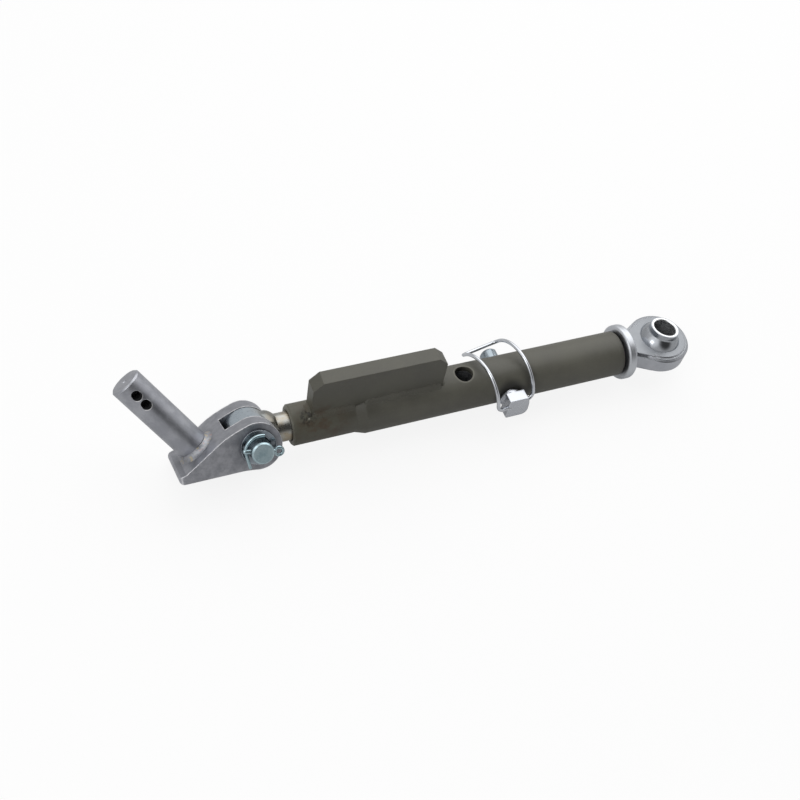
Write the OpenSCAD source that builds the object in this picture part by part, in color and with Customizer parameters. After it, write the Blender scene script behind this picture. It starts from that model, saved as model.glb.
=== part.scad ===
// Lower link stabilizer: a telescopic tube with a ball eye at one end
// and a screwed fork with an oblique hitch pin at the other.
// X runs along the tube, the ball's centre is the origin, Z is up.

/* [Tube] */
// Outside diameter of the tube
tube_d = 50; // [46:1:60]
// Length of the tube
tube_l = 381.5; // [330:0.5:460]
// Outside diameter of the swaged end that takes the screw
swage_d = 43; // [40:1:45]
// Length of the swaged end
swage_l = 66; // [50:0.5:90]
// Length of the cone between the swaged end and the full tube
taper_l = 11; // [6:1:20]
// Distance of the locking pin from the tube's open end
lock_from_end = 143; // [120:0.5:160]
// Distance between the two cross holes of the tube
hole_pitch = 48.5; // [40:0.5:60]

/* [Sliding rod] */
// Diameter of the sliding rod
rod_d = 36; // [30:1:38]
// Gap between the rod and the bore of the tube, all round
slide_gap = 0.05; // [0.02:0.01:0.1]
// Length of the rod inside and outside the tube
rod_l = 247; // [230:1:270]
// Travel of the rod out of the tube
rod_out = 25; // [10:1:28]
// Travel of the rod into the tube
rod_in = 1; // [0.4:0.1:1]
// Gap between the collar and the tube's end as shown
rest_gap = 1.5; // [1.5:0.1:8]

/* [Ball eye] */
// Distance from the ball's centre to the tube side of the collar
collar_reach = 55; // [54:1:62]
// Diameter of the collar
collar_d = 62; // [56:1:66]
// Thickness of the collar
collar_t = 10.5; // [8:0.5:12]
// Rounding of the collar's rim
collar_round = 3; // [1:0.5:4]
// Outside radius of the eye
eye_r = 34.5; // [33:0.5:38]
// Half the thickness of the eye at its rim
eye_half = 12; // [10:0.5:13]
// Half the height of the eye's straight side wall
eye_wall_half = 8.5; // [6:0.5:9]
// Half the width of the neck where it meets the collar
neck_half = 14; // [14:1:22]

/* [Ball] */
// Diameter of the ball
ball_d = 50.8; // [48:0.1:53]
// Bore of the ball
ball_bore = 25.4; // [22:0.1:26]
// Width of the ball over its collars
ball_w = 51; // [46:0.5:56]
// Outside diameter of the ball's collars
ball_collar_d = 33.4; // [31:0.1:35]
// Gap between the ball and its socket
ball_gap = 0.05; // [0.02:0.01:0.1]
// Tilt of the ball as shown
ball_tilt = 8; // [0:1:12]
// Direction of that tilt, seen from above
ball_tilt_dir = 33; // [0:1:90]

/* [Stop plate] */
// Length of the plate
plate_l = 142; // [110:1:160]
// Thickness of the plate
plate_t = 16; // [12:1:20]
// Height of the plate's top over the tube's axis
plate_top = 68.5; // [55:0.5:80]
// Cut corners of the plate
plate_cut = 10; // [5:1:16]
// Distance of the plate from the tube's screwed end
plate_from_end = 20; // [15:0.5:40]
// Radius of the weld beads round the plate
weld_r = 5; // [4:0.5:7]
// Depth of a bead's middle inside the corner that it fills
weld_in = 1.2; // [0.5:0.1:2]

/* [Adjusting screw] */
// Diameter of the screw
screw_d = 30; // [26:1:32]
// Gap between the screw and the swaged end's bore
screw_gap = 0.05; // [0.02:0.01:0.1]
// Length of the screw inside the tube
screw_in = 70; // [65:1:90]
// Distance from the pivot to the tube's screwed end
pivot_reach = 40; // [38:0.5:70]
// Radius of the screw's flat eye
screw_eye_r = 23.5; // [20:0.5:24]
// Turn of the screw and fork about the tube's axis as shown
fork_turn = 35; // [0:1:90]

/* [Fork] */
// Width of the fork over both cheeks
fork_w = 72; // [60:1:80]
// Width of the slot between the cheeks
slot_w = 30; // [28:1:34]
// Gap between the screw's eye and each cheek
slot_gap = 0.4; // [0.2:0.1:1]
// Radius of the cheeks round the pivot
cheek_r = 24; // [22:0.5:28]
// Distance from the pivot to the slot's floor
slot_floor = 26; // [25:0.5:30]
// Distance from the pivot to the fork's back face
fork_back = 79; // [77:0.5:90]
// Height of the sloped seat over the pivot, measured square to it
seat_h = 29; // [27:0.5:31]
// Lean of the hitch pin from upright
pin_lean = 34; // [20:1:40]
// Rounding of the fork's back corners
fork_corner_r = 6; // [3:1:12]
// Height of the fork's flat sole under the pivot
sole_h = 22.2; // [20:0.1:23]

/* [Hitch pin] */
// Diameter of the hitch pin
hitch_d = 32; // [26:1:36]
// Length of the hitch pin from its seat
hitch_l = 97; // [85:1:120]
// Distance from the pivot to the pin's axis along the sloped seat
hitch_back = 46; // [44:0.5:50]
// Depth of the pin's root inside the fork
root_depth = 12; // [8:1:13]
// Diameter of the pin's root in the fork, below its shoulder
root_d = 28; // [20:1:30]
// Diameter of the linch pin holes
linch_d = 9; // [6:0.5:11]
// Distance of the first linch pin hole from the pin's tip
linch_from_tip = 12.3; // [10:0.1:20]
// Distance between the two linch pin holes
linch_pitch = 12.5; // [12:0.5:16]
// Chamfer of the pin's tip
hitch_chamfer = 1.5; // [0.5:0.5:4]
// Size of the weld round the pin's foot
foot_weld = 5; // [3:0.5:6]

/* [Pivot pin] */
// Diameter of the pivot pin
pivot_d = 22; // [18:1:25]
// Gap between the pivot pin and its holes
pivot_gap = 0.05; // [0.02:0.01:0.1]
// Length of the pin's tail outside the cheek
pivot_tail = 21; // [18:0.5:26]
// Diameter of the pin's head
pivot_head_d = 34; // [28:1:40]
// Thickness of the pin's head
pivot_head_t = 6; // [4:0.5:9]
// Outside diameter of the washer
washer_d = 35; // [30:1:44]
// Thickness of the washer
washer_t = 3; // [2:0.5:5]
// Thickness of the split pin
split_d = 5; // [3:0.5:6]
// Distance of the split pin from the cheek
split_from_cheek = 14; // [12:0.5:16]
// Turn of the split pin about the pivot pin
split_turn = 12; // [0:1:45]

/* [Locking pin] */
// Diameter of the locking pin
lock_d = 19; // [16:0.5:20]
// Gap between the locking pin and the tube's cross holes
lock_gap = 0.3; // [0.05:0.05:0.6]
// Gap between the locking pin and the sides of the rod's slot
slot_side_gap = 0.4; // [0.2:0.1:1]
// Length of the locking pin's tail beyond the tube
lock_tail = 11; // [8:0.5:16]
// Gap between the tube and the locking pin's head
head_gap = 0.3; // [0.2:0.1:2]
// Diameter of the round shoulder behind the head
shoulder_d = 24; // [22:1:30]
// Thickness of that shoulder
shoulder_t = 2.7; // [1.5:0.1:4]
// Length of the locking pin's head with its shoulder
head_l = 15.2; // [12:0.1:20]
// Width of the head's flat top along the tube
head_w = 21; // [16:0.5:22]
// Offset of the head along the tube from the pin's axis
head_off = 2; // [0:0.5:2]
// Bulge of the head's far side beyond its flat top
head_bulge = 4; // [0:0.5:5]
// Height of the head over the pin's axis
head_up = 12; // [11:0.5:14]
// Depth of the head below the pin's axis
head_down = 16; // [12:0.5:18]
// Rounding of the head's lower far corner
head_round = 7; // [3:0.5:9]

/* [Wire keeper] */
// Thickness of the wire
wire_d = 4; // [3:0.5:5]
// Gap between the wire and its hole in the head
wire_gap = 0.05; // [0.02:0.01:0.1]
// Half the distance between the wire's two legs
wire_half = 23; // [22:0.5:26]
// Radius of the wire's corners
wire_bend_r = 7; // [5:0.5:7]
// Gap between the wire and the locking pin's tail
wire_tail_gap = 0.8; // [0.8:0.1:2]
// Distance of the wire's hole from the head's outer face
wire_inset = 4; // [3.5:0.5:6]
// Depth of the wire's ends in the head
wire_depth = 7; // [4:0.5:8]
// Lean of the wire's legs where they leave the head
wire_lean = 25; // [10:1:30]
// Lift of the wire over the locking pin's axis as shown
wire_lift = 8; // [0:0.5:20]
// Skew of the wire to the tube's axis
wire_skew = 11; // [0:1:12]

/* [Hidden] */
$fn = 96;
// Overshoot of cuts beyond the faces that they open
cut = 1;
// Distance that a weld run keeps from the plate's corners
weld_gap = 1;
// Gap between the hitch pin's shoulder and the weld under it
foot_gap = 0.3;
// Margin of the neck's raised middle, and where the neck meets the eye in radii
neck_step = 4.4;
neck_join = 0.55;

// Places along the tube
tube_x1 = -(collar_reach + rest_gap);
tube_x0 = tube_x1 - tube_l;
swage_x = tube_x0 + swage_l;
full_x = swage_x + taper_l;
lock_x = tube_x1 - lock_from_end;
free_x = lock_x - hole_pitch;
pivot_x = tube_x0 - pivot_reach;
plate_x0 = tube_x0 + plate_from_end;
plate_x1 = plate_x0 + plate_l;
rod_x0 = -collar_reach - rod_l;

// Radii
tube_r = tube_d / 2;
swage_r = swage_d / 2;
bore_r = rod_d / 2 + slide_gap;
screw_bore_r = screw_d / 2 + screw_gap;
lock_hole_r = lock_d / 2 + lock_gap;
pivot_hole_r = pivot_d / 2 + pivot_gap;

// Chamfers of the tube's ends, outside and at the slide's mouth
tube_chamfer = 1.5;
mouth_chamfer = 1;
// Gap between pieces that lie against each other
face_gap = 0.05;
// Turn that keeps the seam of a bead away from the faces that cut it
seam_turn = 30;
// Eye's rim, bead and groove: distances in from the rim and down from the face
RIM = [[5.5, 0], [4.4, 0.9], [4, 1.6], [3.2, 1.3], [2.2, 1.6], [1.4, 2.3]];
// Top of the eye's side wall: distances in from the rim and down from its edge
WALL = [[1.5, -0.5], [1.1, 0], [0, 0.8]];

// Sloped seat of the fork, as a line in the side view
function seat_z(x) = (seat_h + x * sin(pin_lean)) / cos(pin_lean);
function bend(a, b, c, t) = (1 - t) * (1 - t) * a + 2 * t * (1 - t) * b + t * t * c;

// Turns a shape that stands on Z so that it points along X
module along_x(x) {
    translate([x, 0, 0]) rotate([0, 90, 0]) children();
}

// Places what belongs to the screw and fork, with the pivot as centre
module at_pivot() {
    translate([pivot_x, 0, 0]) rotate([-fork_turn, 0, 0]) children();
}

// The outside of the tube as one solid, radius over length
module tube_outside() {
    along_x(tube_x0) rotate_extrude() polygon([
        [0, 0],
        [swage_r - tube_chamfer, 0],
        [swage_r, tube_chamfer],
        [swage_r, swage_l],
        [tube_r, swage_l + taper_l],
        [tube_r, tube_l - tube_chamfer],
        [tube_r - tube_chamfer, tube_l],
        [0, tube_l]
    ]);
}

// The hollow inside of the tube: screw bore, cone and slide bore
module tube_inside() {
    along_x(tube_x0) rotate_extrude() polygon([
        [0, -cut],
        [screw_bore_r + tube_chamfer, -cut],
        [screw_bore_r + tube_chamfer, 0],
        [screw_bore_r, tube_chamfer],
        [screw_bore_r, swage_l],
        [bore_r, swage_l + taper_l],
        [bore_r, tube_l - mouth_chamfer],
        [bore_r + mouth_chamfer, tube_l],
        [bore_r + mouth_chamfer, tube_l + cut],
        [0, tube_l + cut]
    ]);
}

module outer_tube() {
    color("#5d5c50") difference() {
        tube_outside();
        tube_inside();
        translate([lock_x, 0, 0]) rotate([90, 0, 0])
            cylinder(r = lock_hole_r, h = tube_d + 2 * cut, center = true);
        translate([free_x, 0, 0])
            cylinder(r = lock_hole_r, h = tube_d + 2 * cut, center = true);
    }
}

module stop_plate() {
    color("#5f5e52") difference() {
        translate([0, plate_t / 2, 0]) rotate([90, 0, 0])
            linear_extrude(plate_t) polygon([
                [plate_x0, swage_r / 2],
                [plate_x1, swage_r / 2],
                [plate_x1, plate_top - plate_cut],
                [plate_x1 - plate_cut, plate_top],
                [plate_x0 + plate_cut, plate_top],
                [plate_x0, plate_top - plate_cut]
            ]);
        tube_outside();
    }
}

// Height of the corner between the plate's side and a tube of radius r
function corner_z(r) = sqrt(r * r - plate_t * plate_t / 4);

// A weld run with round ends, standing on Z
module weld_shape(length) {
    steps = 3;
    rotate_extrude() polygon(concat(
        [for (i = [0 : steps])
            let (a = 90 * i / steps)
            [weld_r * sin(a), weld_r * (1 - cos(a))]],
        [for (i = [steps : -1 : 0])
            let (a = 90 * i / steps)
            [weld_r * sin(a), length - weld_r * (1 - cos(a))]]
    ));
}

// Run along the plate's side from x0 to x1, over a tube of radius r
module side_weld(x0, x1, r) {
    difference() {
        translate([0, weld_in - plate_t / 2, corner_z(r) - weld_in])
            along_x(x0) rotate([0, 0, seam_turn]) weld_shape(x1 - x0);
        tube_outside();
        translate([x0 - cut, -plate_t / 2, 0])
            cube([x1 - x0 + 2 * cut, plate_t, plate_top]);
    }
}

// Run across the plate's end face at x, side is where the weld lies
module end_weld(x, side, r) {
    width = plate_t - 2 * weld_gap;
    difference() {
        translate([x - side * weld_in, width / 2, r - 2 * weld_in])
            rotate([90, 0, 0]) rotate([0, 0, seam_turn]) weld_shape(width);
        tube_outside();
        translate([side > 0 ? x - plate_t : x, -plate_t, 0])
            cube([plate_t, 2 * plate_t, plate_top]);
    }
}

module front_swage_weld() {
    color("#5a594d") side_weld(plate_x0 + weld_gap, swage_x, swage_r);
}

module front_tube_weld() {
    color("#5a594d") side_weld(full_x, plate_x1 - weld_gap, tube_r);
}

module rear_swage_weld() {
    color("#5a594d") mirror([0, 1, 0]) side_weld(plate_x0 + weld_gap, swage_x, swage_r);
}

module rear_tube_weld() {
    color("#5a594d") mirror([0, 1, 0]) side_weld(full_x, plate_x1 - weld_gap, tube_r);
}

module left_end_weld() {
    color("#5a594d") end_weld(plate_x0, -1, swage_r);
}

module right_end_weld() {
    color("#5a594d") end_weld(plate_x1, 1, tube_r);
}

// Forged flat eye, flared into the round shank of the screw
module adjusting_screw() {
    eye_t = slot_w - 2 * slot_gap;
    // Flare: radius at its root, start, length, and the part of it that the shank enters
    flare_r = screw_eye_r - 3;
    flare_x = 17;
    flare_l = 10;
    flare_in = 2;
    steps = 8;
    shank_r = screw_d / 2;
    shank_x = flare_x + flare_l - flare_in;
    shank_l = pivot_reach + screw_in - shank_x;
    end_cut = 2;
    color("#b5b0a0") at_pivot() difference() {
        union() {
            rotate([90, 0, 0]) cylinder(r = screw_eye_r, h = eye_t, center = true);
            intersection() {
                rotate([0, 90, 0]) rotate_extrude() polygon(concat(
                    [[0, 0], [flare_r, 0]],
                    [for (i = [0 : steps])
                        let (t = i / steps)
                        [shank_r + (flare_r - shank_r) * (1 - t * t), flare_x + flare_l * t]],
                    [[0, flare_x + flare_l]]
                ));
                translate([0, -eye_t / 2, -screw_eye_r])
                    cube([flare_x + flare_l, eye_t, 2 * screw_eye_r]);
            }
            translate([shank_x, 0, 0]) rotate([0, 90, 0]) rotate_extrude() polygon([
                [0, 0],
                [shank_r, 0],
                [shank_r, shank_l - end_cut],
                [shank_r - end_cut, shank_l],
                [0, shank_l]
            ]);
        }
        rotate([90, 0, 0])
            cylinder(r = pivot_hole_r, h = eye_t + 2 * cut, center = true);
    }
}

// Side view of the fork: flat sole, sloped seat, round nose and cheek end
module fork_side() {
    steps = 6;
    // Front end of the flat sole, and the round nose with the end of the seat
    sole_x = -16;
    nose_r = 4;
    nose_z = nose_r - sole_h;
    nose_x = -71.5;
    // The crest bends from the seat at ax to the cheek's circle at the crown
    crown = 108;
    ax = -38;
    az = seat_z(ax);
    cx = cheek_r * cos(crown);
    cz = cheek_r * sin(crown);
    rise = tan(crown - 90);
    bx = (cz - az - rise * cx + tan(pin_lean) * ax) / (tan(pin_lean) - rise);
    bz = az + tan(pin_lean) * (bx - ax);
    circle(r = cheek_r);
    polygon(concat(
        [[sole_x, -sole_h],
         [0, -cheek_r],
         [0, 0],
         [cx, cz]],
        [for (i = [steps - 1 : -1 : 0])
            [bend(ax, bx, cx, i / steps), bend(az, bz, cz, i / steps)]],
        [[nose_x, seat_z(nose_x)]],
        [for (i = [0 : steps])
            let (a = 180 * i / steps)
            [-fork_back + nose_r - nose_r * sin(a), nose_z + nose_r * cos(a)]]
    ));
}

module fork() {
    half = fork_w / 2;
    color("#9a9aa0") at_pivot() difference() {
        intersection() {
            translate([0, half, 0]) rotate([90, 0, 0]) linear_extrude(fork_w) fork_side();
            translate([0, 0, -cheek_r - cut]) linear_extrude(3 * cheek_r) {
                translate([-fork_back + fork_corner_r, -half])
                    square([fork_back - fork_corner_r + cheek_r, fork_w]);
                translate([-fork_back, -half + fork_corner_r])
                    square([fork_back, fork_w - 2 * fork_corner_r]);
                for (side = [-1, 1])
                    translate([-fork_back + fork_corner_r, side * (half - fork_corner_r)])
                        circle(r = fork_corner_r);
            }
        }
        translate([-slot_floor, -slot_w / 2, -cheek_r - cut])
            cube([slot_floor + cheek_r + cut, slot_w, 2 * (cheek_r + cut)]);
        rotate([90, 0, 0])
            cylinder(r = pivot_hole_r, h = fork_w + 2 * cut, center = true);
        on_seat() translate([0, 0, -root_depth])
            cylinder(r = root_d / 2, h = root_depth + cut);
    }
}

// Puts the hitch pin's foot on the seat, with Z along the pin
module on_seat() {
    rotate([0, -pin_lean, 0]) translate([-hitch_back, 0, seat_h]) children();
}

module hitch_pin() {
    r = hitch_d / 2;
    mark_r = 2.5;
    color("#a2a2a7") at_pivot() on_seat() difference() {
        rotate_extrude() polygon([
            [0, -root_depth],
            [root_d / 2, -root_depth],
            [root_d / 2, foot_weld + foot_gap],
            [r, foot_weld + foot_gap],
            [r, hitch_l - hitch_chamfer],
            [r - hitch_chamfer, hitch_l],
            [mark_r, hitch_l],
            [0, hitch_l - mark_r]
        ]);
        for (i = [0, 1])
            translate([0, 0, hitch_l - linch_from_tip - i * linch_pitch])
                rotate([90, 0, 0])
                    cylinder(d = linch_d, h = hitch_d + 2 * cut, center = true);
    }
}

// Hollow fillet of weld metal round the pin's foot
module pin_foot_weld() {
    r = hitch_d / 2;
    hollow = 0.85;
    steps = 6;
    color("#a8a49a") at_pivot() on_seat() rotate_extrude() polygon(concat(
        [[root_d / 2, 0]],
        [for (i = [0 : steps])
            let (a = 90 * i / steps)
            [r + foot_weld * (1 - sin(a) * hollow), foot_weld * hollow * (1 - cos(a))]],
        [[r, foot_weld], [root_d / 2, foot_weld]]
    ));
}

module pivot_pin() {
    r = pivot_d / 2;
    tip = 1.5;
    head = fork_w / 2 + pivot_head_t;
    tail = fork_w / 2 + pivot_tail;
    color("#aab0b6") at_pivot() difference() {
        rotate([90, 0, 0]) translate([0, 0, -head]) rotate_extrude() polygon([
            [0, 0],
            [pivot_head_d / 2 - tip, 0],
            [pivot_head_d / 2, tip],
            [pivot_head_d / 2, pivot_head_t - face_gap],
            [r, pivot_head_t - face_gap],
            [r, head + tail - tip],
            [r - tip, head + tail],
            [0, head + tail]
        ]);
        at_split() rotate([0, 90, 0])
            cylinder(d = split_d + 2 * lock_gap, h = pivot_d + 4 * cut, center = true);
    }
}

module pivot_washer() {
    play = 0.5;
    color("#b4bac0") at_pivot() translate([0, -fork_w / 2 - face_gap, 0])
        rotate([90, 0, 0]) difference() {
            cylinder(d = washer_d, h = washer_t);
            translate([0, 0, -cut]) cylinder(r = pivot_hole_r + play, h = washer_t + 2 * cut);
        }
}

// Places the split pin in the pivot pin's tail, with X along it
module at_split() {
    translate([0, -fork_w / 2 - split_from_cheek, 0]) rotate([0, split_turn, 0]) children();
}

// Eye, double shank and two bent legs of the split pin
module split_pin() {
    leg_d = split_d * 0.65;
    half = pivot_d / 2;
    // Eye: radius of its middle line, and its place outside the pivot pin
    eye_mid = split_d * 0.45 + leg_d / 2;
    eye_x = half + eye_mid + leg_d / 2 + lock_gap;
    // One leg is wrapped round the pin, the other is bent aside and stays straight
    wrap_r = half + split_d;
    wrap = 95;
    leg_l = 18;
    leg_turn = 160;
    color("#a5adb3") at_pivot() at_split() {
        translate([eye_x, 0, 0]) rotate([90, 0, 0])
            rotate_extrude() translate([eye_mid, 0]) circle(d = leg_d);
        translate([-wrap_r, 0, 0]) rotate([0, 90, 0])
            cylinder(d = split_d, h = wrap_r + eye_x - eye_mid);
        rotate([90, 0, 0]) rotate([0, 0, 180 - wrap]) rotate_extrude(angle = wrap)
            translate([wrap_r, 0]) circle(d = leg_d);
        translate([-wrap_r, 0, 0]) rotate([0, leg_turn, 0]) cylinder(d = leg_d, h = leg_l);
        translate([-wrap_r, 0, 0]) sphere(d = split_d);
    }
}

module sliding_rod() {
    r = rod_d / 2;
    lead = 2;
    slot_r = lock_d / 2 + slot_side_gap;
    color("#8d9094") difference() {
        along_x(rod_x0) rotate_extrude() polygon([
            [0, 0],
            [r - lead, 0],
            [r, lead],
            [r, rod_l],
            [0, rod_l]
        ]);
        for (x = [lock_x - rod_out, lock_x + rod_in])
            translate([x, 0, 0]) rotate([90, 0, 0])
                cylinder(r = slot_r, h = rod_d + 2 * cut, center = true);
        translate([lock_x - rod_out, -r - cut, -slot_r])
            cube([rod_out + rod_in, rod_d + 2 * cut, 2 * slot_r]);
        translate([free_x, 0, 0])
            cylinder(r = lock_hole_r, h = rod_d + 2 * cut, center = true);
    }
}

// Half section of the eye's rim: face, bead, groove and side wall
function rim_section() = concat(
    [[0, eye_half]],
    [for (q = RIM) [eye_r - q[0], eye_half - q[1]]],
    [for (q = WALL) [eye_r - q[0], eye_wall_half - q[1]]]
);

module ball_eye() {
    r = collar_d / 2;
    round_r = collar_round;
    steps = 6;
    neck_end = -collar_reach + collar_t;
    flare = 4;
    flare_l = 7;
    rim = rim_section();
    last = len(rim) - 1;
    color("#b9bcc0") difference() {
        union() {
            rotate_extrude() polygon(concat(
                rim,
                [for (i = [last : -1 : 0]) [rim[i][0], -rim[i][1]]]
            ));
            along_x(-collar_reach) rotate_extrude() polygon(concat(
                [[0, 0]],
                [for (i = [0 : steps])
                    let (a = 90 * i / steps)
                    [r - round_r + round_r * sin(a), round_r - round_r * cos(a)]],
                [for (i = [0 : steps])
                    let (a = 90 * i / steps)
                    [r - round_r + round_r * cos(a), collar_t - round_r + round_r * sin(a)]],
                [[0, collar_t]]
            ));
            // Neck: a wide web as thick as the side wall
            translate([0, 0, -eye_wall_half]) linear_extrude(2 * eye_wall_half)
                neck_plan(0);
            // Raised middle of the neck, up to the eye's face
            translate([0, 0, -eye_half]) linear_extrude(2 * eye_half)
                neck_plan(neck_step);
            // Hollow flare that carries the neck into the collar
            along_x(neck_end - cut) rotate_extrude() polygon(concat(
                [[0, 0]],
                [for (i = [0 : steps])
                    let (a = 90 * i / steps)
                    [neck_half + flare - 2 * flare * sin(a), flare_l * (1 - cos(a))]],
                [[0, flare_l]]
            ));
        }
        sphere(d = ball_d + 2 * ball_gap);
    }
}

// Plan of the neck between collar and eye, drawn in by a margin
module neck_plan(margin) {
    x0 = -collar_reach + collar_t - cut;
    x1 = -eye_r * neck_join;
    y1 = sqrt(eye_r * eye_r - x1 * x1) - margin;
    y0 = neck_half - margin;
    polygon([[x0, -y0], [x1, -y1], [x1, y1], [x0, y0]]);
}

module ball() {
    // Chamfer of the bore and of the collars' rims
    lip = 0.8;
    flat = ball_w / 2;
    bore = ball_bore / 2;
    collar = ball_collar_d / 2;
    // Hollow fillet from each collar down to the ball
    steps = 5;
    fillet_turn = 47;
    fillet_z = 5;
    foot_r = ball_d / 2 * sin(fillet_turn);
    foot_z = ball_d / 2 * cos(fillet_turn);
    fillet = [for (i = [0 : steps])
        [bend(collar, collar, foot_r, i / steps),
         bend(flat - fillet_z, foot_z + 1, foot_z, i / steps)]];
    color("#8c8f92")
        rotate(a = ball_tilt, v = [-sin(ball_tilt_dir), cos(ball_tilt_dir), 0])
            difference() {
                union() {
                    sphere(d = ball_d);
                    rotate_extrude() polygon(concat([
                        [0, -flat],
                        [collar - lip / 2, -flat],
                        [collar, -flat + lip / 2]],
                        [for (p = fillet) [p[0], -p[1]]],
                        [for (i = [steps : -1 : 0]) fillet[i]],
                        [[collar, flat - lip / 2],
                        [collar - lip / 2, flat],
                        [0, flat]]
                    ));
                }
                cylinder(r = bore, h = ball_w + 2 * cut, center = true);
                for (side = [-1, 1])
                    translate([0, 0, side * flat]) rotate([side > 0 ? 180 : 0, 0, 0])
                        cylinder(r1 = bore + lip, r2 = bore, h = lip);
            }
}

// Puts Z along the locking pin, pointing at its tail
module at_lock() {
    translate([lock_x, 0, 0]) rotate([-90, 0, 0]) children();
}

// Faces of the locking pin's head and centre of the wire's hinge in it
head_y = -tube_r - head_gap;
hinge_y = head_y - head_l + wire_inset;

// Places the wire's hinge, with X along it
module at_wire_hinge() {
    translate([lock_x + head_off, hinge_y, 0]) rotate([0, 0, wire_skew]) children();
}

// End view of the locking pin's head: flat top and near side, full far side
module head_side() {
    near = head_off - head_w / 2;
    top = head_off + head_w / 2;
    far = top + head_bulge;
    bulge_z = head_round - head_down;
    lead = 1.5;
    steps = 6;
    polygon(concat(
        [[near + lead, -head_down],
         [near, lead - head_down],
         [near, head_up]],
        [for (i = [0 : steps])
            [bend(top, far, far, i / steps), bend(head_up, head_up / 2, bulge_z, i / steps)]],
        [for (i = [1 : steps])
            let (a = 90 * i / steps)
            [far - head_round + head_round * cos(a), bulge_z - head_round * sin(a)]]
    ));
}

module locking_pin() {
    r = lock_d / 2;
    lead = 2;
    tail_y = tube_r + lock_tail;
    shank_y = head_y - shoulder_t - cut;
    color("#b7babd") difference() {
        union() {
            at_lock() translate([0, 0, shank_y]) rotate_extrude() polygon([
                [0, 0],
                [r, 0],
                [r, tail_y - shank_y - lead],
                [r - lead, tail_y - shank_y],
                [0, tail_y - shank_y]
            ]);
            translate([lock_x, head_y - shoulder_t, 0]) rotate([90, 0, 0])
                linear_extrude(head_l - shoulder_t) head_side();
            translate([lock_x, head_y, 0]) rotate([90, 0, 0])
                cylinder(d = shoulder_d, h = shoulder_t);
        }
        at_wire_hinge() rotate([0, 90, 0])
            cylinder(r = wire_d / 2 + wire_gap, h = 3 * head_w, center = true);
    }
}

// Quarter bend of wire from the hinge line into a leg's lean
module wire_corner(side, lean) {
    translate([side * (wire_half - wire_bend_r), 0, 0]) rotate([lean, 0, 0])
        translate([0, 0, wire_bend_r]) rotate([90, 0, 0]) rotate([0, 0, side > 0 ? -90 : 180])
            rotate_extrude(angle = 90) translate([wire_bend_r, 0]) circle(d = wire_d);
}

// Square keeper of round wire that snaps over the locking pin's tail
module wire_keeper() {
    // Straight wire is a touch thinner than its bends and runs a little into them
    run_d = wire_d - 0.04;
    run_in = 0.3;
    straight = wire_half - wire_bend_r + run_in;
    reach = tube_r + lock_tail + wire_tail_gap + wire_d / 2 - hinge_y;
    // The sweep is a circle that meets both corners of its leg
    sweep_r = (reach / 2 - wire_bend_r * sin(wire_lean)) / cos(wire_lean);
    sweep_z = wire_bend_r * cos(wire_lean) - sweep_r * sin(wire_lean);
    sweep_start = wire_lean - 90 - run_in / sweep_r * 180 / PI;
    stub_x = head_w / 2 - wire_depth;
    color("#c3c6c9") at_wire_hinge() rotate([wire_lift, 0, 0]) {
        // Crossbar behind the tail
        translate([-straight, reach, 0]) rotate([0, 90, 0])
            cylinder(d = run_d, h = 2 * straight);
        for (side = [-1, 1]) {
            // End of the wire in the head
            translate([side > 0 ? stub_x : -straight, 0, 0]) rotate([0, 90, 0])
                cylinder(d = run_d, h = straight - stub_x);
            wire_corner(side, -wire_lean);
            // Leg swept over the tube
            translate([side * wire_half, reach / 2, sweep_z])
                rotate([0, -90, 0]) rotate([0, 0, sweep_start])
                    rotate_extrude(angle = -2 * sweep_start)
                        translate([sweep_r, 0]) circle(d = run_d);
            translate([0, reach, 0]) wire_corner(side, wire_lean);
        }
    }
}

outer_tube();
stop_plate();
front_swage_weld();
front_tube_weld();
rear_swage_weld();
rear_tube_weld();
left_end_weld();
right_end_weld();
adjusting_screw();
fork();
hitch_pin();
pin_foot_weld();
pivot_pin();
pivot_washer();
split_pin();
sliding_rod();
ball_eye();
ball();
locking_pin();
wire_keeper();
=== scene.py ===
import math

import bmesh
import bpy
from mathutils import Matrix, Vector


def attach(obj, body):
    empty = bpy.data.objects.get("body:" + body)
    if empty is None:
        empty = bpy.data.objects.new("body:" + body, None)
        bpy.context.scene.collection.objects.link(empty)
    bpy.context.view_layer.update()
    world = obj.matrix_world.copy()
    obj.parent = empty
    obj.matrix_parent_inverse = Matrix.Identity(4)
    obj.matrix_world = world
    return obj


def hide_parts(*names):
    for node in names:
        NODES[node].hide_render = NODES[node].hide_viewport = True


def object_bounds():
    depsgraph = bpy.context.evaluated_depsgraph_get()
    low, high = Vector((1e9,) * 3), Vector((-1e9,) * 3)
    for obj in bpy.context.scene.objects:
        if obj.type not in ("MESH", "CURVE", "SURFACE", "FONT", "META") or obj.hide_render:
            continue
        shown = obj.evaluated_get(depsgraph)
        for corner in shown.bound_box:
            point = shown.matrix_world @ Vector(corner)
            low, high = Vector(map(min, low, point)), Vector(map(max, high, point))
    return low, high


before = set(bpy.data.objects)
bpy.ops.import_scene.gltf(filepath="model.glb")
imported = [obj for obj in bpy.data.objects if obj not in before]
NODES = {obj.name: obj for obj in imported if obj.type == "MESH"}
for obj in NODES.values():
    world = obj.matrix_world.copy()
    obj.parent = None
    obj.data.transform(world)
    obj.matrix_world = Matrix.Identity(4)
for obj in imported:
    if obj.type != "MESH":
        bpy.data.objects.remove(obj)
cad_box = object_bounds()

# Sizes and places of the part's source that this script repeats, in metres and radians
PIVOT_X = -0.478
FORK_TURN = math.radians(35)
HALF_FORK, HALF_SLOT = 0.036, 0.0154
SLOT_DEPTH = 0.026
SLOT_X = PIVOT_X - SLOT_DEPTH
SEAT_BACK, SEAT_HEIGHT = 0.046, 0.029
PIN_LEAN, PIN_R, FOOT_WELD = math.radians(34), 0.016, 0.005
LINCH_R, LINCH_HEIGHTS = 0.0045, (0.0832, 0.0707)
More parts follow.
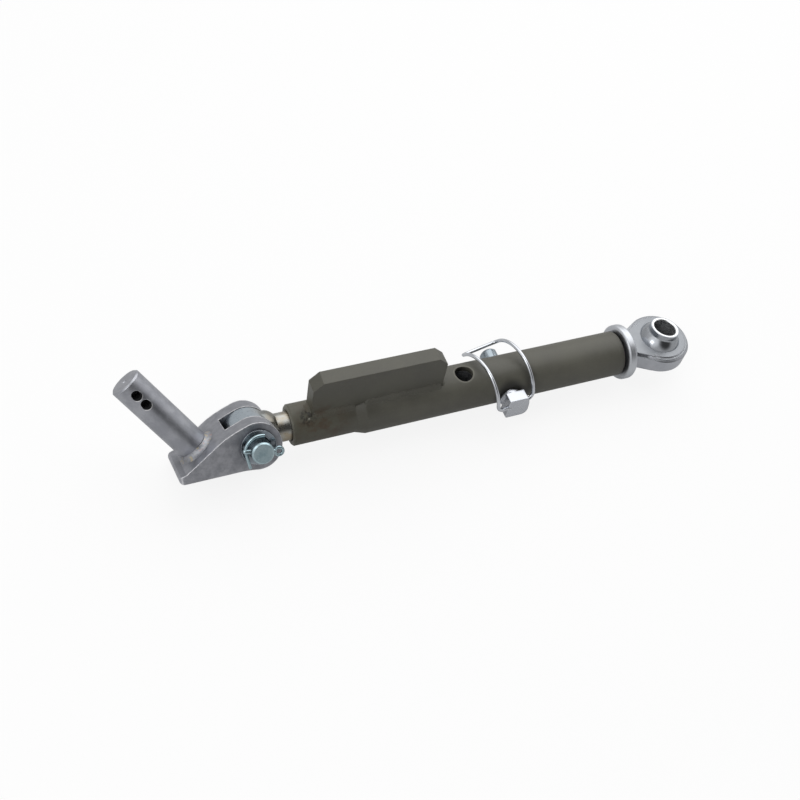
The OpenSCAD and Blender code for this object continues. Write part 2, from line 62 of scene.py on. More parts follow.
TUBE_X0, SWAGE_X, FULL_X = -0.438, -0.372, -0.361
TUBE_R, SWAGE_R = 0.025, 0.0215
FREE_X, FREE_HOLE_R = -0.248, 0.0098
PLATE_X0, PLATE_X1, HALF_PLATE = -0.418, -0.276, 0.008
LOCK_X, COLLAR_X, BORE_R = -0.1995, -0.0425, 0.0127
BALL_TILT, BALL_TURN = math.radians(8), math.radians(33)

# The screw's thread, which only its material shows
THREAD_PITCH, THREAD_DEPTH = 0.0035, 0.0012
THREAD_X = TUBE_X0 + 0.003

# The fork's own frame is turned about the tube's axis and centred on the pivot. The hitch pin stands on
# the sloped seat.
FORK = Matrix.Translation((PIVOT_X, 0, 0)) @ Matrix.Rotation(-FORK_TURN, 4, "X")
SEAT = FORK @ Matrix.Rotation(-PIN_LEAN, 4, "Y") @ Matrix.Translation((-SEAT_BACK, 0, SEAT_HEIGHT))
PIN_AXIS = (SEAT.to_3x3() @ Vector((0, 0, 1))).normalized()
PIVOT_AXIS = (FORK.to_3x3() @ Vector((0, 1, 0))).normalized()
BALL_AXIS = Vector((math.sin(BALL_TILT) * math.cos(BALL_TURN),
                    math.sin(BALL_TILT) * math.sin(BALL_TURN),
                    math.cos(BALL_TILT)))
TUBE_AXIS = Vector((1, 0, 0))
LOCK_AXIS = Vector((0, 1, 0))
UP = Vector((0, 0, 1))

# Camera, solved from the photograph's outlines: degrees, metres from the aimed point, and pixels
CAMERA_AZIMUTH, CAMERA_ELEVATION, CAMERA_ROLL = -31.386, 52.626, 13.314
CAMERA_AIM = Vector((-0.3, 0, 0))
CAMERA_REACH, CAMERA_LEFT, CAMERA_DOWN = 1.055794, 0.015264, 0.002857
FOCAL_PIXELS, PICTURE_PIXELS, SENSOR = 1005.655, 800, 36


def aim_camera():
    """Camera at the photograph's viewing angle."""
    azimuth, elevation, roll = (math.radians(v) for v in (CAMERA_AZIMUTH, CAMERA_ELEVATION, CAMERA_ROLL))
    level = Vector((math.cos(azimuth), math.sin(azimuth), 0))
    rise = Vector((-math.sin(azimuth) * math.sin(elevation),
                   math.cos(azimuth) * math.sin(elevation),
                   math.cos(elevation)))
    back = Vector((math.sin(azimuth) * math.cos(elevation),
                   -math.cos(azimuth) * math.cos(elevation),
                   math.sin(elevation)))
    right = level * math.cos(roll) + rise * math.sin(roll)
    up = rise * math.cos(roll) - level * math.sin(roll)
    data = bpy.data.cameras.new("camera")
    data.sensor_width = SENSOR
    data.lens = SENSOR * FOCAL_PIXELS / PICTURE_PIXELS
    data.clip_start = 0.02
    data.clip_end = 40
    camera = bpy.data.objects.new("camera", data)
    camera.matrix_world = Matrix((right, up, back)).transposed().to_4x4()
    camera.matrix_world.translation = (CAMERA_AIM + back * CAMERA_REACH - right * CAMERA_LEFT
                                       - up * CAMERA_DOWN)
    bpy.context.scene.collection.objects.link(camera)
    bpy.context.scene.camera = camera


# Shader nodes: each helper adds a node to the tree and returns its output socket

def tone(*rgb):
    """Linear colour of three values from 0 to 255."""
    def linear(value):
        value = value / 255
        return value / 12.92 if value <= 0.04045 else ((value + 0.055) / 1.055) ** 2.4
    return tuple(linear(v) for v in rgb) + (1.0,)


def add(tree, kind, inputs=None, **settings):
    """New node. Each input is a socket to link or a plain value."""
    node = tree.nodes.new(kind)
    for key, value in settings.items():
        setattr(node, key, value)
    for key, value in (inputs or {}).items():
        if isinstance(value, bpy.types.NodeSocket):
            tree.links.new(value, node.inputs[key])
        else:
            node.inputs[key].default_value = value
    return node


def new_material(name):
    """Material with an empty tree."""
    material = bpy.data.materials.new(name)
    material.use_nodes = True
    material.node_tree.nodes.clear()
    return material, material.node_tree


def finish_surface(tree, colour, metal, rough, normal):
    """Principled shader of the given sockets, and the tree's output."""
    shader = add(tree, "ShaderNodeBsdfPrincipled", {"Base Color": colour, "Metallic": metal,
                                                    "Roughness": rough, "Normal": normal})
    add(tree, "ShaderNodeOutputMaterial", {0: shader.outputs[0]})


def position(tree):
    """Place in the row frame at rest, which each piece carries along."""
    return add(tree, "ShaderNodeTexCoord").outputs["Object"]


def facing(tree):
    """Outward direction in the row frame at rest."""
    return add(tree, "ShaderNodeTexCoord").outputs["Normal"]


def noise(tree, scale, detail=3.0, rough=0.5, vector=None, stretch=None):
    vector = vector or position(tree)
    if stretch:
        vector = add(tree, "ShaderNodeMapping", {"Vector": vector, "Scale": stretch}).outputs[0]
    return add(tree, "ShaderNodeTexNoise", {"Vector": vector, "Scale": scale, "Detail": detail,
                                            "Roughness": rough}).outputs["Fac"]


def ramp(tree, value, start, end, low=0.0, high=1.0):
    """Smooth step from low at start to high at end."""
    return add(tree, "ShaderNodeMapRange", {"Value": value, "From Min": start, "From Max": end,
                                            "To Min": low, "To Max": high},
               interpolation_type="SMOOTHSTEP").outputs[0]


def maths(tree, operation, first, second=0.0):
    return add(tree, "ShaderNodeMath", {0: first, 1: second}, operation=operation).outputs[0]


def times(tree, first, second):
    return maths(tree, "MULTIPLY", first, second)


def most(tree, first, second):
    return maths(tree, "MAXIMUM", first, second)


def apart(tree, value, middle):
    """Distance of a value from the middle."""
    return maths(tree, "ABSOLUTE", maths(tree, "SUBTRACT", value, middle))


def blend(tree, share, first, second):
    return add(tree, "ShaderNodeMix", {0: share, 6: first, 7: second}, data_type="RGBA").outputs[2]


def bump(tree, height, strength, distance, normal):
    return add(tree, "ShaderNodeBump", {"Height": height, "Strength": strength, "Distance": distance,
                                        "Normal": normal}).outputs[0]


def vector_maths(tree, operation, first, second=(0, 0, 0)):
    return add(tree, "ShaderNodeVectorMath", {0: first, 1: second}, operation=operation).outputs


def dot(tree, vector, axis):
    return vector_maths(tree, "DOT_PRODUCT", vector, axis)["Value"]


def coordinate(tree, axis):
    """Coordinate in the row frame along an axis."""
    return dot(tree, position(tree), axis)


def near(tree, point, solid, faded):
    """1 up to the solid distance from a point, 0 from the faded distance on."""
    return ramp(tree, vector_maths(tree, "DISTANCE", position(tree), point)["Value"], solid, faded, 1.0, 0.0)


def from_axis(tree, point, axis):
    """Distance from a line through the point."""
    offset = vector_maths(tree, "SUBTRACT", position(tree), point)[0]
    across = vector_maths(tree, "CROSS_PRODUCT", offset, axis)[0]
    return vector_maths(tree, "LENGTH", across)["Value"]


def rounded_normal(tree, radius):
    """Normal that rounds every edge by the radius."""
    return add(tree, "ShaderNodeBevel", {"Radius": radius}, samples=6).outputs[0]


def edges(tree, rounded):
    """1 on edges, 0 on open faces."""
    true = add(tree, "ShaderNodeNewGeometry").outputs["Normal"]
    return ramp(tree, maths(tree, "SUBTRACT", 1.0, dot(tree, rounded, true)), 0.02, 0.2)


def cavity(tree, reach, local=True, bright=0.5, dark=0.14):
    """1 deep in a bore or slot, 0 on open faces. Local leaves the other pieces out."""
    free = add(tree, "ShaderNodeAmbientOcclusion", {"Distance": reach}, samples=6, only_local=local)
    return ramp(tree, free.outputs["AO"], dark, bright, 1.0, 0.0)


def turning_rings(tree, axis, scale):
    """One-dimensional noise along an axis: the rings that turning leaves."""
    line = add(tree, "ShaderNodeCombineXYZ", {0: coordinate(tree, axis)}).outputs[0]
    return noise(tree, scale, 2.0, 0.6, line)


def ripples(tree, pitch, bow):
    """Crescents of a weld run along X, from 0 to 1."""
    bent = times(tree, noise(tree, 160, 2, 0.5), bow)
    turn = times(tree, maths(tree, "ADD", coordinate(tree, TUBE_AXIS), bent), 2 * math.pi / pitch)
    return ramp(tree, maths(tree, "SINE", turn), -1.0, 1.0)


def helix(tree, pitch):
    """Thread about the X axis: 0 in the root, 1 on the crest."""
    x, y, z = add(tree, "ShaderNodeSeparateXYZ", {0: position(tree)}).outputs
    turn = maths(tree, "DIVIDE", maths(tree, "ARCTAN2", z, y), 2 * math.pi)
    step = maths(tree, "FRACT", maths(tree, "ADD", maths(tree, "DIVIDE", x, pitch), turn))
    return times(tree, apart(tree, step, 0.5), 2.0)


# Olive paint

# Marks that welding left round the plate's screwed end: centre, solid and faded distance, the patches' noise
# (scale, detail, roughness, start and end of its ramp), strength and colour
MARKS = (
    ((-0.425, -0.010, 0.004), 0.012, 0.075, None, 0.5, (76, 74, 58)),
    ((-0.410, -0.016, 0.012), 0.004, 0.040, (85, 4, 0.65, 0.42, 0.62), 0.6, (74, 54, 36)),
    ((-0.392, -0.021, -0.006), 0.004, 0.040, (70, 3, 0.60, 0.40, 0.66), 0.5, (66, 50, 38)),
    ((-0.4225, -0.008, 0.019), 0.003, 0.013, (330, 3, 0.70, 0.44, 0.58), 0.85, (26, 22, 18)),
)
SPATTER = (-0.4205, -0.0105, 0.0195)
# Where the painted shade beside the wire starts along the tube
WIRE_SHADE_X = -0.262


def weld_marks(tree, colour):
    """Heat marks and soot near the plate's screwed end."""
    for centre, solid, faded, patches, strength, mark in MARKS:
        share = near(tree, centre, solid, faded)
        if patches:
            scale, detail, rough, start, end = patches
            share = times(tree, share, ramp(tree, noise(tree, scale, detail, rough), start, end))
        colour = blend(tree, times(tree, share, strength), colour, tone(*mark))
    return colour


def thin_paint(tree, rounded):
    """Bare metal at the tube's faced end, round the free hole, on worn edges and on a drop of spatter."""
    rim = ramp(tree, coordinate(tree, TUBE_AXIS), TUBE_X0 + 0.0012, TUBE_X0 + 0.0004)
    hole = from_axis(tree, (FREE_X, 0, 0), UP)
    ring = ramp(tree, hole, FREE_HOLE_R + 0.0004, FREE_HOLE_R + 0.0024, 1.0, 0.0)
    worn = times(tree, edges(tree, rounded), ramp(tree, noise(tree, 320, 3, 0.7), 0.5, 0.66))
    thin = most(tree, times(tree, rim, 0.45), times(tree, worn, 0.3))
    thin = most(tree, thin, times(tree, ring, 0.35))
    return most(tree, thin, near(tree, SPATTER, 0.0007, 0.0017))


def painted_contact_shade(tree):
    """Painted shade where the wire lies on the tube and round the front of the locking pin's shoulder."""
    tight = cavity(tree, 0.009, False, 0.97, 0.45)
    along_tube = ramp(tree, coordinate(tree, TUBE_AXIS), WIRE_SHADE_X, WIRE_SHADE_X + 0.004)
    by_wire = times(tree, tight, along_tube)
    round_lock = ramp(tree, from_axis(tree, (LOCK_X, 0, 0), LOCK_AXIS), 0.0215, 0.0135)
    front = ramp(tree, coordinate(tree, LOCK_AXIS), -0.004, -0.014)
    return times(tree, most(tree, by_wire, times(tree, round_lock, front)), 0.8)


def olive_paint(name, dark, light, radius, rippled=False):
    """Satin paint with peel, worn edges, weld marks and painted shade. Its edges are rounded by the radius.
    """
    material, tree = new_material(name)
    rounded = rounded_normal(tree, radius)
    cloud = noise(tree, 22, 4, 0.6)
    fine = noise(tree, 700, 3, 0.6)
    thin = thin_paint(tree, rounded)
    # Painted shade: hollows that ambient occlusion finds turn near black, metallic and rough, so they
    # reflect almost nothing
    deep = cavity(tree, 0.08)
    colour = blend(tree, ramp(tree, cloud, 0.35, 0.7), tone(*dark), tone(*light))
    colour = blend(tree, times(tree, ramp(tree, fine, 0.5, 0.75), 0.22), colour, tone(110, 107, 98))
    colour = weld_marks(tree, colour)
    colour = blend(tree, thin, colour, tone(150, 148, 138))
    # Painted shade: near black in hollows, beside the wire and round the locking pin's shoulder
    colour = blend(tree, most(tree, deep, painted_contact_shade(tree)), colour, tone(9, 9, 10))
    metal = most(tree, times(tree, thin, 0.5), deep)
    rough = most(tree, ramp(tree, cloud, 0.3, 0.7, 0.40, 0.52), deep)
    normal = bump(tree, noise(tree, 420, 3, 0.55), 0.3, 0.0002, rounded)
    if rippled:
        normal = bump(tree, ripples(tree, 0.0030, 0.004), 0.35, 0.0003, normal)
    normal = bump(tree, fine, 0.2, 0.00006, normal)
    finish_surface(tree, colour, metal, rough, normal)
    return material


# Plated and turned steel

def zinc(name, dark, light, rough, cloud, grain, relief, radius=0.0006, rings=None, edge_wear_and_highlight=None, edge_share=0.6,
         tint_and_painted_light=None, shade=0.0, bores=None, thread=False, local=True):
    """Cloudy zinc over the texture of the metal under it.

    cloud and grain are noise scales, relief and radius metres. rings holds an axis, a noise scale and a
    relief. rubbed is the colour of the edges, wear and painted highlight in one, and rub its share. tint
    takes the tree and the colour and adds the piece's tints and painted light. bores masks holes, which
    are painted dark as shade, and shade is the share of painted shade in half-hidden places.
    """
    material, tree = new_material(name)
    rounded = rounded_normal(tree, radius)
    haze = noise(tree, cloud, 4, 0.65)
    fine = noise(tree, grain, 3, 0.65)
    colour = blend(tree, ramp(tree, haze, 0.3, 0.7), tone(*dark), tone(*light))
    colour = blend(tree, times(tree, ramp(tree, fine, 0.52, 0.72), 0.3), colour, tone(*light))
    if tint_and_painted_light:
        colour = tint_and_painted_light(tree, colour)
    # Lighter edges: partly wear, partly painted highlight
    if edge_wear_and_highlight:
        colour = blend(tree, times(tree, edges(tree, rounded), edge_share), colour, tone(*edge_wear_and_highlight))
    # Painted shade in half-hidden places
    if shade:
        hidden = cavity(tree, 0.024, local, 0.95, 0.3)
        colour = blend(tree, times(tree, hidden, shade), colour, tone(70, 72, 78))
    # Painted shade: bores, slots and masked holes turn near black, less metallic and rough
    deep = cavity(tree, 0.03, local)
    if bores:
        deep = most(tree, deep, bores(tree))
    colour = blend(tree, deep, colour, tone(20, 21, 24))
    metal = maths(tree, "SUBTRACT", 1.0, times(tree, deep, 0.7))
    matt = most(tree, ramp(tree, haze, 0.3, 0.72, rough - 0.05, rough + 0.06), deep)
    normal = bump(tree, fine, 0.5, relief, rounded)
    if rings:
        axis, scale, height = rings
        normal = bump(tree, turning_rings(tree, axis, scale), 0.5, height, normal)
    if thread:
        cut = times(tree, helix(tree, THREAD_PITCH), thread_start(tree))
        normal = bump(tree, cut, 1.0, THREAD_DEPTH, normal)
    finish_surface(tree, colour, metal, matt, normal)
    return material


def thread_start(tree):
    """0 on the smooth shank, 1 along the thread."""
    return ramp(tree, coordinate(tree, TUBE_AXIS), THREAD_X, THREAD_X + 0.001)


def screw_tint_and_shade(tree, colour):
    """Blue-grey eye and yellowish shank, with painted shade on the neck and in the roots of the thread."""
    x = coordinate(tree, TUBE_AXIS)
    shank = ramp(tree, x, PIVOT_X + 0.002, PIVOT_X + 0.026)
    patches = ramp(tree, noise(tree, 110, 3, 0.6), 0.35, 0.65, 0.55, 1.0)
    colour = blend(tree, times(tree, shank, patches), colour, tone(168, 158, 140))
    # Painted shade on the neck
    neck = ramp(tree, apart(tree, x, PIVOT_X + 0.020), 0.011, 0.004)
    colour = blend(tree, times(tree, neck, 0.6), colour, tone(112, 110, 104))
    # Painted shade in the roots of the thread, which only the bump draws
    roots = times(tree, ramp(tree, helix(tree, THREAD_PITCH), 0.45, 0.1), thread_start(tree))
    return blend(tree, roots, colour, tone(70, 66, 58))


def weld_tint(tree, colour):
    """Small straw and pink spots that the heat left on the bead."""
    straw = ramp(tree, noise(tree, 240, 2, 0.5), 0.56, 0.66)
    pink = ramp(tree, noise(tree, 210, 2, 0.5, stretch=(1.0, 1.3, 0.8)), 0.60, 0.68)
    colour = blend(tree, times(tree, straw, 0.5), colour, tone(206, 190, 150))
    return blend(tree, times(tree, pink, 0.4), colour, tone(196, 158, 150))


def fork_shade_and_highlights(tree, colour):
    """Painted shade on the fork's upper faces, and broken painted highlight lines along the edges of its
    cheeks.
    """
    normal = facing(tree)
    # Painted shade: faces turned up are darker
    top = ramp(tree, dot(tree, normal, UP), 0.35, 0.9, 0.0, 0.65)
    colour = blend(tree, top, colour, tone(142, 144, 150))
    across = maths(tree, "ABSOLUTE", coordinate(tree, PIVOT_AXIS))
    # Painted highlights along the cheeks' outer and inner edges
    outer = ramp(tree, apart(tree, across, HALF_FORK - 0.0007), 0.0011, 0.0006)
    inner = ramp(tree, apart(tree, across, HALF_SLOT + 0.0006), 0.0010, 0.0005)
    inner = times(tree, inner, ramp(tree, coordinate(tree, TUBE_AXIS), SLOT_X - 0.001, SLOT_X))
    rim = ramp(tree, maths(tree, "ABSOLUTE", dot(tree, normal, PIVOT_AXIS)), 0.96, 0.85)
    broken = ramp(tree, noise(tree, 190, 3, 0.6), 0.3, 0.6, 0.12, 0.8)
    line = times(tree, most(tree, outer, inner), times(tree, rim, broken))
    return blend(tree, line, colour, tone(252, 252, 254))


def pin_hole_highlights(tree, colour):
    """Painted highlights on the lower lips of the two linch holes, on the side of the pin's foot."""
    height = coordinate(tree, PIN_AXIS)
    for z in LINCH_HEIGHTS:
        centre = SEAT @ Vector((0, 0, z))
        middle = PIN_AXIS.dot(centre)
        ring = ramp(tree, from_axis(tree, centre, PIVOT_AXIS), LINCH_R + 0.0011, LINCH_R + 0.0008)
        lower = ramp(tree, height, middle - 0.0015, middle - 0.0036)
        colour = blend(tree, times(tree, ring, lower), colour, tone(252, 252, 253))
    return colour


def linch_hole_shade(tree):
    """1 inside the pin's two cross holes, which are painted dark as shade."""
    gaps = [from_axis(tree, SEAT @ Vector((0, 0, z)), PIVOT_AXIS) for z in LINCH_HEIGHTS]
    return ramp(tree, maths(tree, "MINIMUM", *gaps), LINCH_R + 0.0002, LINCH_R + 0.0001)


def eye_face_shade_and_collar(tree, colour):
    """Painted shade on the eye's flat upward face; the collar is lighter."""
    flat = ramp(tree, dot(tree, facing(tree), UP), 0.75, 0.92)
    collar = ramp(tree, coordinate(tree, TUBE_AXIS), COLLAR_X - 0.002, COLLAR_X, 1.0, 0.0)
    colour = blend(tree, flat, colour, tone(146, 149, 153))
    return blend(tree, collar, colour, tone(208, 211, 216))


def ball_rim_highlight(tree, colour):
    """Painted highlight: the ring round the ball's bore, on its turned end faces, is near white."""
    rim = ramp(tree, from_axis(tree, (0, 0, 0), BALL_AXIS), BORE_R + 0.0028, BORE_R + 0.0022)
    return blend(tree, rim, colour, tone(244, 246, 248))


def lock_rear_shade(tree, colour):
    """Painted shade on the locking pin's rear end."""
    rear = ramp(tree, coordinate(tree, LOCK_AXIS), 0.0, 0.01)
    return blend(tree, rear, colour, tone(158, 168, 175))


def make_materials():
    """Material of every CAD node, by the node's name."""
    paint_dark, paint_light = (82, 81, 73), (92, 91, 82)
    seam = olive_paint("olive_weld_paint", paint_dark, (93, 92, 83), 0.0022, rippled=True)
    blue = zinc("blue_zinc", (160, 184, 192), (196, 216, 222), 0.21, 90, 800, 0.00004,
                edge_wear_and_highlight=(232, 238, 240), shade=0.85, local=False)
    return {
        "outer_tube": olive_paint("olive_tube_paint", paint_dark, paint_light, 0.0022),
        "stop_plate": olive_paint("olive_paint", paint_dark, paint_light, 0.0014),
        "front_swage_weld": seam,
        "front_tube_weld": seam,
        "rear_swage_weld": seam,
        "rear_tube_weld": seam,
        "left_end_weld": seam,
        "right_end_weld": seam,
        "adjusting_screw": zinc("screw_zinc", (176, 188, 198), (194, 204, 211), 0.30, 80, 900, 0.00003,
                                radius=0.0010, rings=(TUBE_AXIS, 2400, 0.00004), tint_and_painted_light=screw_tint_and_shade,
                                thread=True),
        "fork": zinc("forged_zinc", (164, 166, 173), (203, 204, 210), 0.44, 130, 620, 0.00030,
                     radius=0.0010, edge_wear_and_highlight=(250, 250, 252), edge_share=0.9, tint_and_painted_light=fork_shade_and_highlights, shade=0.75,
                     local=False),
        "hitch_pin": zinc("turned_zinc", (164, 166, 173), (188, 190, 196), 0.36, 70, 1400, 0.00004,
                          radius=0.0010, rings=(PIN_AXIS, 1600, 0.00002), edge_wear_and_highlight=(240, 241, 244),
                          tint_and_painted_light=pin_hole_highlights, bores=linch_hole_shade),
        "pin_foot_weld": zinc("weld_zinc", (138, 140, 146), (176, 178, 183), 0.50, 180, 420, 0.00040,
                              tint_and_painted_light=weld_tint, local=False),
        "pivot_pin": blue,
        "pivot_washer": zinc("pale_zinc", (182, 194, 206), (212, 222, 230), 0.22, 70, 900, 0.00004,
                             edge_wear_and_highlight=(238, 242, 246), shade=0.85, local=False),
        "split_pin": blue,
        "sliding_rod": zinc("rod_steel", (150, 152, 156), (180, 182, 186), 0.24, 40, 1400, 0.00002,
                            rings=(TUBE_AXIS, 1800, 0.00003)),
        "ball_eye": zinc("eye_zinc", (184, 187, 193), (198, 200, 206), 0.38, 60, 700, 0.00012,
                         radius=0.0009, edge_wear_and_highlight=(226, 229, 232), tint_and_painted_light=eye_face_shade_and_collar),
        "ball": zinc("ball_steel", (172, 176, 181), (186, 189, 194), 0.20, 40, 1500, 0.00001,
                     rings=(BALL_AXIS, 2600, 0.00002), tint_and_painted_light=ball_rim_highlight),
        "locking_pin": zinc("bright_zinc", (200, 203, 210), (207, 210, 216), 0.26, 70, 900, 0.00001,
                            radius=0.0020, edge_wear_and_highlight=(228, 230, 234), tint_and_painted_light=lock_rear_shade),
        "wire_keeper": zinc("wire_zinc", (204, 207, 213), (222, 225, 230), 0.15, 70, 900, 0.00002,
                            radius=0.0002),
    }


# Weld runs

# Leg of a run, depth that its edges and its back sink into what they join, and spacing of its crescents
LEG, EDGE_SINK, BACK_SINK, RUN_PITCH = 0.0056, 0.0003, 0.001, 0.0032
# Hollow of the section as a share of the way to the corner's far side, points across it, spacing of sections
HOLLOW, FILLET_STEPS, SECTION_STEP = 0.16, 7, 0.0005
# Length of the rounded ends, and how far a run starts from the plate's end or past the tube's step
END_LENGTH, END_INSET, STEP_OVERRUN = 0.005, 0.0005, 0.002
# The runs across the plate's ends: overhang on each side, and leg as a share of the side runs' leg
END_OVERHANG, END_LEG = 0.0012, 0.85
# The run round the hitch pin's foot: sections, mean radius, spacing of its crescents, and leg as a share of
# the room between the seat and the pin's shoulder
FOOT_SECTIONS, FOOT_MEAN_R, FOOT_PITCH, FOOT_LEG = 160, 0.019, 0.0034, 1.14
# The foot run's three thicker places and its thinnest leg, as shares, and where its waves start in radians
FOOT_LOBE, FOOT_THINNEST, FOOT_LOBE_START, FOOT_WAVE_START = 0.06, 0.95, 0.6, 1.7
# Unevenness: metres per radian of the two slow waves, swell of crescents and of slow waves, change of width
SLOW_WAVES, CREST_SWELL, SLOW_SWELL, SLOW_WIDTH = (0.0137, 0.0071), 0.035, 0.03, 0.05
# Share of the leg that is left at a run's very end
END_SHARE = 0.12


def sweep(name, rings, closed=False):
    """Closed skin over a row of rings that all have the same number of points."""
    count = len(rings[0])
    skin = bmesh.new()
    rows = [[skin.verts.new(point) for point in ring] for ring in rings]
    pairs = list(zip(rows, rows[1:])) + ([(rows[-1], rows[0])] if closed else [])
    for low, high in pairs:
        for i in range(count):
            j = (i + 1) % count
            skin.faces.new((low[i], low[j], high[j], high[i]))
    if not closed:
        skin.faces.new(rows[0])
        skin.faces.new(rows[-1])
    bmesh.ops.recalc_face_normals(skin, faces=skin.faces)
    for face in skin.faces:
        face.smooth = True
    mesh = bpy.data.meshes.new(name)
    skin.to_mesh(mesh)
    skin.free()
    piece = bpy.data.objects.new(name, mesh)
    bpy.context.scene.collection.objects.link(piece)
    return piece


def fillet_ring(corner, up, out, sink, swell):
    """Section of a run: hollow from one leg's end to the other, with its back sunk into both pieces."""
    middle = corner + (up + out - 2 * corner) * HOLLOW
    line = []
    for k in range(FILLET_STEPS + 1):
        t = k / FILLET_STEPS
        point = up * (1 - t) ** 2 + middle * 2 * t * (1 - t) + out * t ** 2
        line.append(point + ((up + out) / 2 - corner) * swell * math.sin(math.pi * t))
    return line + [corner + sink]


def unevenness(place, pitch, seed):
    """Swell of the crescents, and width of the slow thick and thin stretches, at a place along a run."""
    long, short = SLOW_WAVES
    slow = math.sin(place / long + seed) * 0.5 + math.sin(place / short + 2.3 * seed) * 0.5
    beat = math.sin(2 * math.pi * place / pitch + 0.8 * slow)
    return CREST_SWELL * beat + SLOW_SWELL * slow, 1 + SLOW_WIDTH * slow


def end_taper(place, length):
    """Share of the leg that is left towards a run's rounded ends."""
    inward = min(place, length - place) / END_LENGTH
    return END_SHARE + (1 - END_SHARE) * math.sqrt(max(0.0, 1 - (1 - min(inward, 1)) ** 2))


def side_run(name, x0, x1, r, side):
    """Run along the plate's foot; side is -1 at the front and 1 at the rear."""
    length = x1 - x0
    steps = round(length / SECTION_STEP)
    plate_angle = math.asin(HALF_PLATE / r)
    rings = []
    for i in range(steps + 1):
        place = length * i / steps
        swell, width = unevenness(place, RUN_PITCH, x0 * 90 + side)
        leg = LEG * width * end_taper(place, length)
        angle = plate_angle + leg / r
        x = x0 + place
        corner = Vector((x, side * HALF_PLATE, r * math.cos(plate_angle)))
        up = corner + Vector((0, -side * EDGE_SINK, leg))
        out = Vector((x, side * (r - EDGE_SINK) * math.sin(angle), (r - EDGE_SINK) * math.cos(angle)))
        rings.append(fillet_ring(corner, up, out, Vector((0, -side * BACK_SINK, -BACK_SINK)), swell))
    return sweep(name, rings)


def end_run(name, x, r, side):
    """Run across the plate's end face at x; side is -1 at the left end and 1 at the right end."""
    length = 2 * HALF_PLATE + 2 * END_OVERHANG
    steps = round(length / SECTION_STEP)
    rings = []
    for i in range(steps + 1):
        place = length * i / steps
        swell, width = unevenness(place, RUN_PITCH, x * 70)
        leg = LEG * END_LEG * width * end_taper(place, length)
        y = place - length / 2
        corner = Vector((x, y, math.sqrt(r * r - y * y)))
        up = corner + Vector((-side * EDGE_SINK, 0, leg))
        out = corner + Vector((side * leg, 0, -EDGE_SINK))
        rings.append(fillet_ring(corner, up, out, Vector((-side * BACK_SINK, 0, -BACK_SINK)), swell))
    return sweep(name, rings)


def foot_run(name):
    """Run round the hitch pin's foot, up to just over the pin's shoulder."""
    rings = []
    for i in range(FOOT_SECTIONS):
        angle = 2 * math.pi * i / FOOT_SECTIONS
        swell, width = unevenness(angle * FOOT_MEAN_R, FOOT_PITCH, FOOT_WAVE_START)
        width *= 1 + FOOT_LOBE * math.sin(3 * angle + FOOT_LOBE_START)
        leg = FOOT_WELD * FOOT_LEG * max(width, FOOT_THINNEST)
        away = Vector((math.cos(angle), math.sin(angle), 0))
        corner = away * PIN_R
        up = corner + Vector((0, 0, leg)) - away * EDGE_SINK
        out = corner + away * leg - Vector((0, 0, EDGE_SINK))
        ring = fillet_ring(corner, up, out, -away * BACK_SINK - UP * BACK_SINK / 2, swell)
        rings.append([SEAT @ point for point in ring])
    return sweep(name, rings, closed=True)


def plate_runs():
    """Maker and places of each run that holds the plate, by the node that it replaces."""
    runs = {}
    for face, side in (("front", -1), ("rear", 1)):
        runs[face + "_swage_weld"] = (side_run, PLATE_X0 + END_INSET, SWAGE_X + STEP_OVERRUN, SWAGE_R, side)
        runs[face + "_tube_weld"] = (side_run, FULL_X - STEP_OVERRUN / 2, PLATE_X1 - END_INSET, TUBE_R, side)
    runs["left_end_weld"] = (end_run, PLATE_X0, SWAGE_R, -1)
    runs["right_end_weld"] = (end_run, PLATE_X1, TUBE_R, 1)
    return runs


def add_weld_runs():
    """Uneven weld runs in the places of the CAD's plain ones."""
    for node, (make, *where) in plate_runs().items():
        run = make(node + ".run", *where)
        run.data.materials.append(looks[node])
        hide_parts(node)
        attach(run, "tube")
    foot = foot_run("pin_foot_weld.run")
    foot.data.materials.append(looks["pin_foot_weld"])
    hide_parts("pin_foot_weld")
    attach(foot, "fork")


# Floor and light

FLOOR_DROP, FLOOR_REACH = 0.0004, 6.0
# Grey of the floor where it lights the object and where the camera sees it, and its glow in camera rays and
# in reflections
FLOOR_GREY, FLOOR_SEEN, FLOOR_CAMERA_GLOW, FLOOR_GLOSS_GLOW = 0.5, 0.95, 0.86, 0.2
SKY_HORIZON, SKY_TOP = 0.5, 0.66
# Bright parts of the sky: azimuth and elevation, cosines where each starts and is full, strength
LOBES = (((48, 45), 0.5, 0.97, 0.36), ((-164, 44), 0.80, 0.98, 0.5))
# Dark panel in front: azimuth and elevation, cosines where it starts and is full, level
PANEL_AIM, PANEL_START, PANEL_FULL, PANEL_LEVEL = (-70, 45), 0.76, 0.95, 0.06
WHITE = (1, 1, 1, 1)


def grey(level):
    return (level, level, level, 1)


def seen_rays(path):
    """Camera rays, also those that passed through glass."""
    return path.outputs["Is Camera Ray"], path.outputs["Is Transmission Ray"]


def floor_material():
    material, tree = new_material("floor")
    path = add(tree, "ShaderNodeLightPath")
    camera = most(tree, *seen_rays(path))
    colour = blend(tree, camera, grey(FLOOR_GREY), grey(FLOOR_SEEN))
    matt = add(tree, "ShaderNodeBsdfDiffuse", {"Color": colour})
    glow = add(tree, "ShaderNodeEmission", {"Color": WHITE, "Strength": 1.0})
    share = maths(tree, "ADD", times(tree, camera, FLOOR_CAMERA_GLOW),
                  times(tree, path.outputs["Is Glossy Ray"], FLOOR_GLOSS_GLOW))
    mix = add(tree, "ShaderNodeMixShader", {0: share, 1: matt.outputs[0], 2: glow.outputs[0]})
    add(tree, "ShaderNodeOutputMaterial", {0: mix.outputs[0]})
    return material


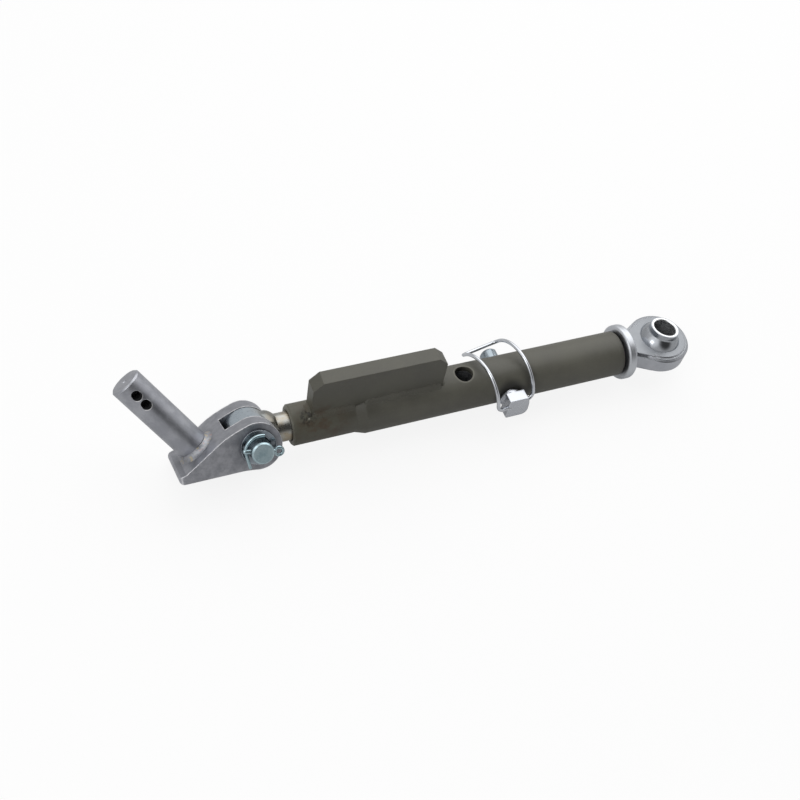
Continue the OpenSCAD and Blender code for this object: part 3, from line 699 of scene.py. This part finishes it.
def flat_floor():
    """Pale floor just under the object's lowest point."""
    z = cad_box[0][2] - FLOOR_DROP
    s = FLOOR_REACH
    mesh = bpy.data.meshes.new("floor")
    mesh.from_pydata([(-s, -s, z), (s, -s, z), (s, s, z), (-s, s, z)], [], [(0, 1, 2, 3)])
    mesh.materials.append(floor_material())
    floor = bpy.data.objects.new("floor", mesh)
    bpy.context.scene.collection.objects.link(floor)


def toward(azimuth, elevation):
    """Direction from azimuth and elevation in degrees."""
    a, e = math.radians(azimuth), math.radians(elevation)
    return Vector((math.cos(a) * math.cos(e), math.sin(a) * math.cos(e), math.sin(e)))


def sky():
    """A light tent: bright behind and on the left, with a dark panel in front. The camera sees white."""
    world = bpy.data.worlds.new("studio")
    bpy.context.scene.world = world
    world.use_nodes = True
    tree = world.node_tree
    tree.nodes.clear()
    way = add(tree, "ShaderNodeTexCoord").outputs["Generated"]
    level = ramp(tree, dot(tree, way, UP), 0.0, 0.8, SKY_HORIZON, SKY_TOP)
    for aim, start, full, power in LOBES:
        lobe = ramp(tree, dot(tree, way, toward(*aim)), start, full, 0.0, power)
        level = maths(tree, "ADD", level, lobe)
    panel = ramp(tree, dot(tree, way, toward(*PANEL_AIM)), PANEL_START, PANEL_FULL)
    level = add(tree, "ShaderNodeMix", {0: panel, 2: level, 3: PANEL_LEVEL}, data_type="FLOAT").outputs[0]
    room = add(tree, "ShaderNodeBackground", {"Color": WHITE, "Strength": level})
    white = add(tree, "ShaderNodeBackground", {"Color": WHITE, "Strength": 1.0})
    seen = most(tree, *seen_rays(add(tree, "ShaderNodeLightPath")))
    mix = add(tree, "ShaderNodeMixShader", {0: seen, 1: room.outputs[0], 2: white.outputs[0]})
    add(tree, "ShaderNodeOutputWorld", {0: mix.outputs[0]})


def lamp(name, aim, way, reach, size, power):
    """Rectangular lamp of so many watts, that far from the aimed point."""
    data = bpy.data.lights.new(name, "AREA")
    data.shape = "RECTANGLE"
    data.size, data.size_y = size
    data.energy = power
    light = bpy.data.objects.new(name, data)
    light.location = Vector(aim) + way * reach
    light.rotation_euler = (-way).to_track_quat("-Z", "Y").to_euler()
    bpy.context.scene.collection.objects.link(light)


aim_camera()
looks = make_materials()
for node, look in looks.items():
    mesh = NODES[node].data
    mesh.materials.clear()
    mesh.materials.append(look)
add_weld_runs()
flat_floor()
sky()
lamp("key", (-0.3, 0, 0), toward(54, 52), 1.6, (2.6, 1.8), 10)
lamp("left", (-0.2, 0, 0), toward(-164, 44), 1.2, (0.4, 0.4), 1.0)
bpy.context.scene.view_settings.view_transform = "Standard"
